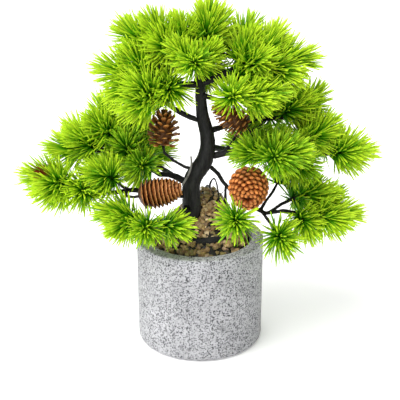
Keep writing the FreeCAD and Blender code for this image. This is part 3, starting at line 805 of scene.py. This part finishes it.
class PINE_OT_gravel(bpy.types.Operator):
    """Covers the gravel bed with glued pebbles"""
    bl_idname = "pine.gravel"
    bl_label = "Gravel"

    def execute(self, context):
        settings = context.scene.pine_gravel
        chance = random.Random(11)
        patterns = [Pattern(self.pebble(chance, index)) for index in range(PEBBLE_FORMS)]
        low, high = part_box("gravel_bed")
        bed = frame["nodes"]["gravel_bed"]
        middle = (low + high) / 2
        reach = (high.x - low.x) / 2 - GRAVEL_GAP
        heap = Heap()
        for index in range(settings.pebbles):
            away = reach * math.sqrt((index + 0.5) / settings.pebbles)
            turn = GOLDEN_TURN * index + chance.uniform(-0.25, 0.25)
            x = middle.x + away * math.cos(turn)
            y = middle.y + away * math.sin(turn)
            hit, place, normal, _ = bed.ray_cast(Vector((x, y, high.z + 0.02)), Vector((0, 0, -1)))
            if not hit:
                continue
            size = settings.pebble_size * chance.uniform(0.62, 1.22)
            squash = (size * chance.uniform(0.8, 1.2), size, size * chance.uniform(0.6, 0.95))
            lift = normal * size * chance.uniform(-0.12, 0.28)
            roll = Matrix.Rotation(chance.uniform(0, 6.28), 3, "Z")
            tip = Matrix.Rotation(chance.uniform(-0.7, 0.7), 3, "X")
            tint = chance.random()
            # Painted shade: some of the outermost pebbles are made nearly black at the gravel's
            # edge.
            if away > reach * OUTERMOST and chance.random() < PAINTED_SHADE_SHARE:
                tint *= 0.1
            heap.add(chance.choice(patterns), roll @ tip, place + lift, squash, tint=tint)
        pebbles = heap.piece("gravel_pebbles")
        base = copy_of_node("gravel_bed", "gravel_base")
        mark_points(base, along=0.0, tint=0.0)
        select_only(pebbles)
        base.select_set(True)
        bpy.ops.object.join()
        settle(pebbles, "gravel_bed", "gravel", pebble_stone(), PEBBLE_ANGLE)
        return {"FINISHED"}

    @staticmethod
    def pebble(chance, index):
        """A cube with its corners struck off by flat cuts and its edges worn."""
        select_nothing()
        bpy.ops.mesh.primitive_cube_add(size=1.0, location=(0.0, 0.0, 0.0))
        piece = bpy.context.active_object
        piece.name = "pebble_%d" % index
        edit(piece)
        for _ in range(PEBBLE_CUTS):
            away = Vector([chance.gauss(0, 1) for _ in range(3)]).normalized()
            bpy.ops.mesh.select_all(action="SELECT")
            bpy.ops.mesh.bisect(
                plane_co=away * chance.uniform(0.40, 0.52), plane_no=away, use_fill=True,
                clear_outer=True)
        bpy.ops.mesh.select_all(action="SELECT")
        bpy.ops.mesh.remove_doubles(threshold=WORN_EDGE)
        bpy.ops.mesh.normals_make_consistent(inside=False)
        leave_edit()
        return piece


class PINE_OT_bark(bpy.types.Operator):
    """Covers the trunk, limbs, branches, twigs and roots with moulded bark"""
    bl_idname = "pine.bark"
    bl_label = "Bark"

    def execute(self, context):
        settings = context.scene.pine_bark
        # The last value sets the brightness of the painted highlights on the ridges.
        charcoal = bark(settings, "bark", 2.2)
        black = bark(settings, "root_plastic", 1.6)
        for node in BARK_NODES + ROOT_NODES:
            piece = copy_of_node(node, node + "_bark")
            root = node in ROOT_NODES
            grain = LIMB_GRAIN
            if node == "trunk":
                grain = TRUNK_GRAIN
            elif root or node == "upright_cone_stalk":
                grain = TWIG_GRAIN
            voxel, depth_share, spacing, squeeze = grain
            remesh = piece.modifiers.new("even mesh", "REMESH")
            remesh.mode = "VOXEL"
            remesh.voxel_size = voxel
            smooth = piece.modifiers.new("soften", "SMOOTH")
            smooth.iterations = SMOOTHING_ROUNDS
            apply_modifiers(piece)
            roughen(piece, settings.grain_depth * depth_share, spacing, squeeze)
            settle(piece, node, "root_plastic" if root else "bark", black if root else charcoal,
                   BARK_ANGLE)
        return {"FINISHED"}


class PINE_OT_vine(bpy.types.Operator):
    """Gives the pale vine on the trunk and the wire stalks of the cones their finishes"""
    bl_idname = "pine.vine"
    bl_label = "Vine and stalks"

    def execute(self, context):
        repaint("trunk_vine", plain_mottled(
            "vine", (0.05, 0.05, 0.045, 1), (0.36, 0.35, 0.32, 1), 0.5, 420, 1800, 0.3 * MM))
        stalk = plain_mottled(
            "stalk", (0.010, 0.009, 0.007, 1), (0.06, 0.045, 0.03, 1), 0.5, 500, 2200, 0.3 * MM)
        for node in ("golden_cone_stalk", "ball_cone_stalk", "low_cone_stalk"):
            repaint(node, stalk)
        return {"FINISHED"}


class PINE_OT_needles(bpy.types.Operator):
    """Fans needles round the stalk of every sprig"""
    bl_idname = "pine.needles"
    bl_label = "Needles"

    def execute(self, context):
        settings = context.scene.pine_needles
        material = needle_plastic(settings)
        blunt = Pattern(draw_out("needle", 4, (0.7, 0.5), [
            (0.06, 0.9, 0.6, 0.0), (0.35, 1.0, 0.6, 0.0), (0.7, 0.95, 0.5, 0.0),
            (0.93, 0.75, 0.35, 0.0), (1.0, 0.25, 0.2, 0.0)]))
        waved = Pattern(draw_out("needle_waved", 4, (0.7, 0.5), [
            (0.06, 0.9, 0.6, 0.0), (0.3, 1.0, 0.6, 0.02), (0.55, 0.95, 0.5, -0.012),
            (0.82, 0.85, 0.45, 0.02), (1.0, 0.3, 0.2, 0.0)]))
        stalk = Pattern(draw_out("sprig_stalk", 6, (1.0, 1.0), [
            (0.5, 0.95, 0.95, 0.0), (1.0, 0.6, 0.6, 0.0)]))
        cones = [oval for node in CONE_NODES for oval in self.keep_clear(node)]
        low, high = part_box("left_limb_outer_sprigs")
        bud = Vector((low.x + BUD_INWARD, (low.y + high.y) / 2, high.z + BUD_ABOVE))
        for number, node in enumerate(SPRIG_NODES):
            chance = random.Random(500 + number)
            heap = Heap()
            length = settings.length * NEEDLE_SHARE.get(node, 1.0)
            for points, centre in islands(node):
                foot, heading = foot_and_heading(points, centre)
                heap.add(stalk, turn_to(heading), foot - heading * STALK_SUNK * MM, STALK_SIZE,
                         along=0.0)
                # A sprig's random tone plus its group's painted light and shade, carried on into
                # its needles' tint.
                tone_and_painted_light = chance.uniform(-0.12, 0.12) + PAINTED_LIGHT.get(node, 0.0)
                plump = length * chance.uniform(0.93, 1.06)
                for start, way, reach in self.fan(settings, chance, foot, heading, plump):
                    tip = start + way * reach
                    if any(self.strikes(start, tip, *cone) for cone in cones):
                        continue
                    tint = min(1.0, max(0.0, chance.gauss(0.5, 0.26) + tone_and_painted_light))
                    if node == "left_limb_outer_sprigs" and (tip - bud).length < BUD_REACH:
                        tint = BUD_TINT
                    heap.add(chance.choice((blunt, waved)),
                             turn_to(way, chance.uniform(-3.14, 3.14)), start,
                             (settings.width, settings.width, reach),
                             chance.uniform(-0.15, 0.11), tint)
            settle(heap.piece(node.replace("_sprigs", "_needles")), node, "needles", material,
                   NEEDLE_ANGLE)
        return {"FINISHED"}

    @staticmethod
    def fan(settings, chance, foot, heading, length):
        """The needles of one sprig as start, way and reach: a fan, and a whorl at its foot."""
        side = heading.orthogonal().normalized()
        whorl = settings.needles // WHORL_PART
        for index in range(settings.needles + whorl):
            share = (index + 0.5) / settings.needles
            tilt = 0.05 + settings.spread * share ** 0.8 + chance.uniform(-0.12, 0.12)
            rise = (FAN_TOP - FAN_SPAN * share + chance.uniform(-1.5, 1.5)) * MM
            reach = length * chance.uniform(0.78, 1.04)
            if share > 1.0:
                tilt = settings.spread * chance.uniform(0.85, 1.45)
                rise = chance.uniform(0.5, 5.0) * MM
                reach *= WHORL_LENGTH
            turn = GOLDEN_TURN * index + chance.uniform(-0.3, 0.3)
            out = Matrix.Rotation(turn, 3, heading) @ side
            yield foot + heading * rise, heading * math.cos(tilt) + out * math.sin(tilt), reach

    @staticmethod
    def keep_clear(node):
        """Ovals round a cone and before it that needles stay out of, as middle and half sizes."""
        low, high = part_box(node)
        middle, half = (low + high) / 2, (high - low) / 2 + CONE_MARGIN
        for step in CLEAR_STEPS:
            yield middle + TO_CAMERA * step * MM, half * (1.0 - CLEAR_TAPER * step)

    @staticmethod
    def strikes(start, tip, middle, half):
        """Whether a needle passes through an oval."""
        for step in range(1, STRIKE_STEPS + 1):
            place = start.lerp(tip, step / STRIKE_STEPS) - middle
            if sum((place[axis] / half[axis]) ** 2 for axis in range(3)) < 1.0:
                return True
        return False


class PINE_OT_cones(bpy.types.Operator):
    """Builds the pine cones from scales set in spirals round a core"""
    bl_idname = "pine.cones"
    bl_label = "Pine cones"

    def execute(self, context):
        settings = context.scene.pine_cones
        brown = cone_scales("cone_brown", settings.brown_colour, (0.56, 0.25, 0.085))
        golden = cone_scales("cone_golden", settings.golden_colour, (0.60, 0.29, 0.075))
        orange = cone_scales("cone_orange", settings.orange_colour, (0.60, 0.215, 0.055))
        opened = Pattern(draw_out("open_scale", 8, (0.40, 0.14), [
            (0.35, 0.50, 0.11, 0.0), (0.7, 0.84, 0.09, 0.04), (0.92, 0.90, 0.11, 0.09),
            (1.0, 0.5, 0.07, 0.13)]))
        tight = Pattern(draw_out("tight_scale", 8, (0.6, 0.14), [
            (0.4, 0.9, 0.10, 0.0), (0.78, 1.0, 0.075, 0.02), (0.95, 0.93, 0.085, 0.03),
            (1.0, 0.7, 0.05, 0.03)]))
        plump = Pattern(draw_out("plump_scale", 8, (0.5, 0.2), [
            (0.4, 0.75, 0.24, 0.0), (0.74, 1.0, 0.34, 0.02), (0.92, 0.85, 0.34, 0.03),
            (1.0, 0.45, 0.18, 0.03)]))
        # pattern, material, slot, scales, scales in a ring (0 for a spiral), how far the
        # lowest and highest scales stand out in degrees, and their width
        count = settings.scales
        forms = {
            "upright_cone": (opened, golden, "cone_brown", count, 0, 84, 14, 0.46),
            "golden_cone": (opened, golden, "cone_golden", count + 16, 0, 90, 20, 0.50),
            "ball_cone": (plump, orange, "cone_golden", settings.tight_scales, 0, 66, 14, 0.42),
            "low_cone": (tight, brown, "cone_brown", settings.tight_scales, 12, 64, 24, 0.74),
        }
        for number, (node, form) in enumerate(forms.items()):
            self.cone(number, node, *form)
        return {"FINISHED"}

    @staticmethod
    def cone(number, node, scale, material, slot, count, ring, low_angle, high_angle, width):
        """Sets scales round the core of one cone, in a spiral or in rings, foot to tip."""
        chance = random.Random(90 + number)
        points, centre = islands(node)[0]
        spread = points - centre
        way = lengthwise(spread)
        place = spread @ way
        across = np.linalg.norm(spread - np.outer(place, way), axis=1)
        if place.max() < -place.min():
            way, place = -way, -place
        foot = Vector(centre + way * place.min())
        tall = place.max() - place.min()
        girth = across.max()
        axis = Vector(way)
        core = copy_of_node(node, node + "_core")
        thin = thin_about(axis, CORE_GIRTH, CORE_HEIGHT)
        core.data.transform(Matrix.Translation(foot) @ thin @ Matrix.Translation(-foot))
        # The core takes a dark tone near that of the scales' foot, painted shade deep in the cone.
        mark_points(core, along=0.12, tint=0.4)
        heap = Heap()
        side = axis.orthogonal().normalized()
        for index in range(count):
            share = (index + 0.5) / count
            turn = GOLDEN_TURN * index
            if ring:
                share = (index // ring + 0.5) * ring / count
                turn = math.tau * (index % ring + 0.5 * (index // ring % 2)) / ring
            height = 0.04 + 0.90 * share ** 0.9
            out = Matrix.Rotation(turn, 3, axis) @ side
            swell = math.sin(math.pi * min(1.0, 0.16 + 0.84 * height) ** 0.8) ** 0.62
            radius = girth * max(0.16, swell)
            angle = math.radians(low_angle + (high_angle - low_angle) * share)
            angle += chance.uniform(-0.07, 0.07)
            heading = axis * math.cos(angle) + out * math.sin(angle)
            inner = radius * 0.36
            reach = (radius - inner) / max(0.34, math.sin(angle))
            start = foot + axis * (height * tall - reach * math.cos(angle) * 0.62) + out * inner
            across_way = axis.cross(out)
            face = heading.cross(across_way)
            turned = Matrix((across_way, -face, heading)).transposed()
            wide = girth * width * (0.45 + 0.55 * swell) * chance.uniform(0.93, 1.07)
            heap.add(scale, turned, start, (wide, girth * 0.62, reach * 1.04),
                     tint=chance.random())
        cone = heap.piece(node + "_scales")
        select_only(cone)
        core.select_set(True)
        bpy.ops.object.join()
        settle(cone, node, slot, material, CONE_ANGLE)


class PINE_OT_studio(bpy.types.Operator):
    """Adds the camera, the floor and soft lights"""
    bl_idname = "pine.studio"
    bl_label = "Studio"

    def execute(self, context):
        settings = context.scene.pine_studio
        select_nothing()
        target = Vector((0.0, 0.0, LOOK_HEIGHT))
        away = Vector((0.0, -math.cos(settings.elevation), math.sin(settings.elevation)))
        data = bpy.data.cameras.new("camera")
        data.lens = settings.lens
        data.sensor_width = SENSOR_WIDTH
        camera = bpy.data.objects.new("camera", data)
        context.scene.collection.objects.link(camera)
        camera.location = target + away * settings.distance
        camera.rotation_euler = (math.pi / 2 - settings.elevation, 0.0, 0.0)
        context.scene.camera = camera
        bpy.ops.mesh.primitive_plane_add(size=1.0, location=(0.0, 0.0, 0.0))
        floor = context.active_object
        floor.name = "floor"
        edit(floor)
        bpy.ops.mesh.select_all(action="SELECT")
        bpy.ops.transform.resize(
            value=(FLOOR_WIDTH, FLOOR_WIDTH, 1.0), center_override=(0.0, 0.0, 0.0))
        bpy.ops.mesh.subdivide(number_cuts=6)
        bpy.ops.transform.translate(value=(0.0, 0.0, -FLOOR_GAP))
        leave_edit()
        pale = settings.floor_colour
        floor.data.materials.append(plain_mottled(
            "floor", shade(pale, 0.985), shade(pale, 1.0), 0.85, 3.0, 60.0, 0.02 * MM,
            Emission_Color=(1.0, 1.0, 1.0, 1.0), Emission_Strength=0.24))
        lamps = [
            ("key", (-0.62, -0.5, 1.1), 50.0, settings.key_strength),
            ("rim", (-0.2, 1.0, 0.9), 60.0, settings.key_strength * 0.3),
        ]
        for name, place, width, power in lamps:
            light = bpy.data.lights.new(name, "SUN")
            light.angle = math.radians(width)
            light.energy = power
            lamp = bpy.data.objects.new(name, light)
            context.scene.collection.objects.link(lamp)
            lamp.location = place
            lamp.rotation_euler = Vector(place).to_track_quat("Z", "Y").to_euler()
        world = bpy.data.worlds.new("studio")
        world.use_nodes = True
        sky = world.node_tree
        back = sky.nodes["Background"]
        back.inputs["Color"].default_value = (1.0, 1.0, 1.0, 1.0)
        around = put(sky, "ShaderNodeTexCoord")
        parts = put(sky, "ShaderNodeSeparateXYZ")
        softer = put(sky, "ShaderNodeMapRange", {
            "From Min": -1.0, "From Max": 1.0, "To Min": settings.sky_strength * SKY_LEFT,
            "To Max": settings.sky_strength * SKY_RIGHT})
        join(sky, (around, "Generated", parts, 0), (parts, "X", softer, "Value"),
             (softer, 0, back, "Strength"))
        context.scene.world = world
        context.scene.view_settings.view_transform = "Standard"
        return {"FINISHED"}


class PINE_PT_panel(bpy.types.Panel):
    """Lists the tree's settings and the buttons that build it"""
    bl_idname = "PINE_PT_panel"
    bl_label = "Tabletop pine"
    bl_space_type = "VIEW_3D"
    bl_region_type = "UI"
    bl_category = "Pine"

    def draw(self, context):
        for name, group in SETTINGS.items():
            box = self.layout.box()
            settings = getattr(context.scene, name)
            for entry in group.__annotations__:
                box.prop(settings, entry)
        for operator in OPERATORS:
            self.layout.operator(operator.bl_idname)


OPERATORS = [
    PINE_OT_studio, PINE_OT_pot, PINE_OT_gravel, PINE_OT_bark, PINE_OT_vine, PINE_OT_needles,
    PINE_OT_cones,
]


def register():
    for name, group in SETTINGS.items():
        bpy.utils.register_class(group)
        setattr(bpy.types.Scene, name, PointerProperty(type=group))
    for kind in OPERATORS + [PINE_PT_panel]:
        bpy.utils.register_class(kind)


def unregister():
    for kind in reversed(OPERATORS + [PINE_PT_panel]):
        bpy.utils.unregister_class(kind)
    for name, group in SETTINGS.items():
        delattr(bpy.types.Scene, name)
        bpy.utils.unregister_class(group)


def main():
    register()
    for operator in OPERATORS:
        getattr(bpy.ops.pine, operator.bl_idname.split(".")[1])()
    select_nothing()


if __name__ == "__main__":
    main()
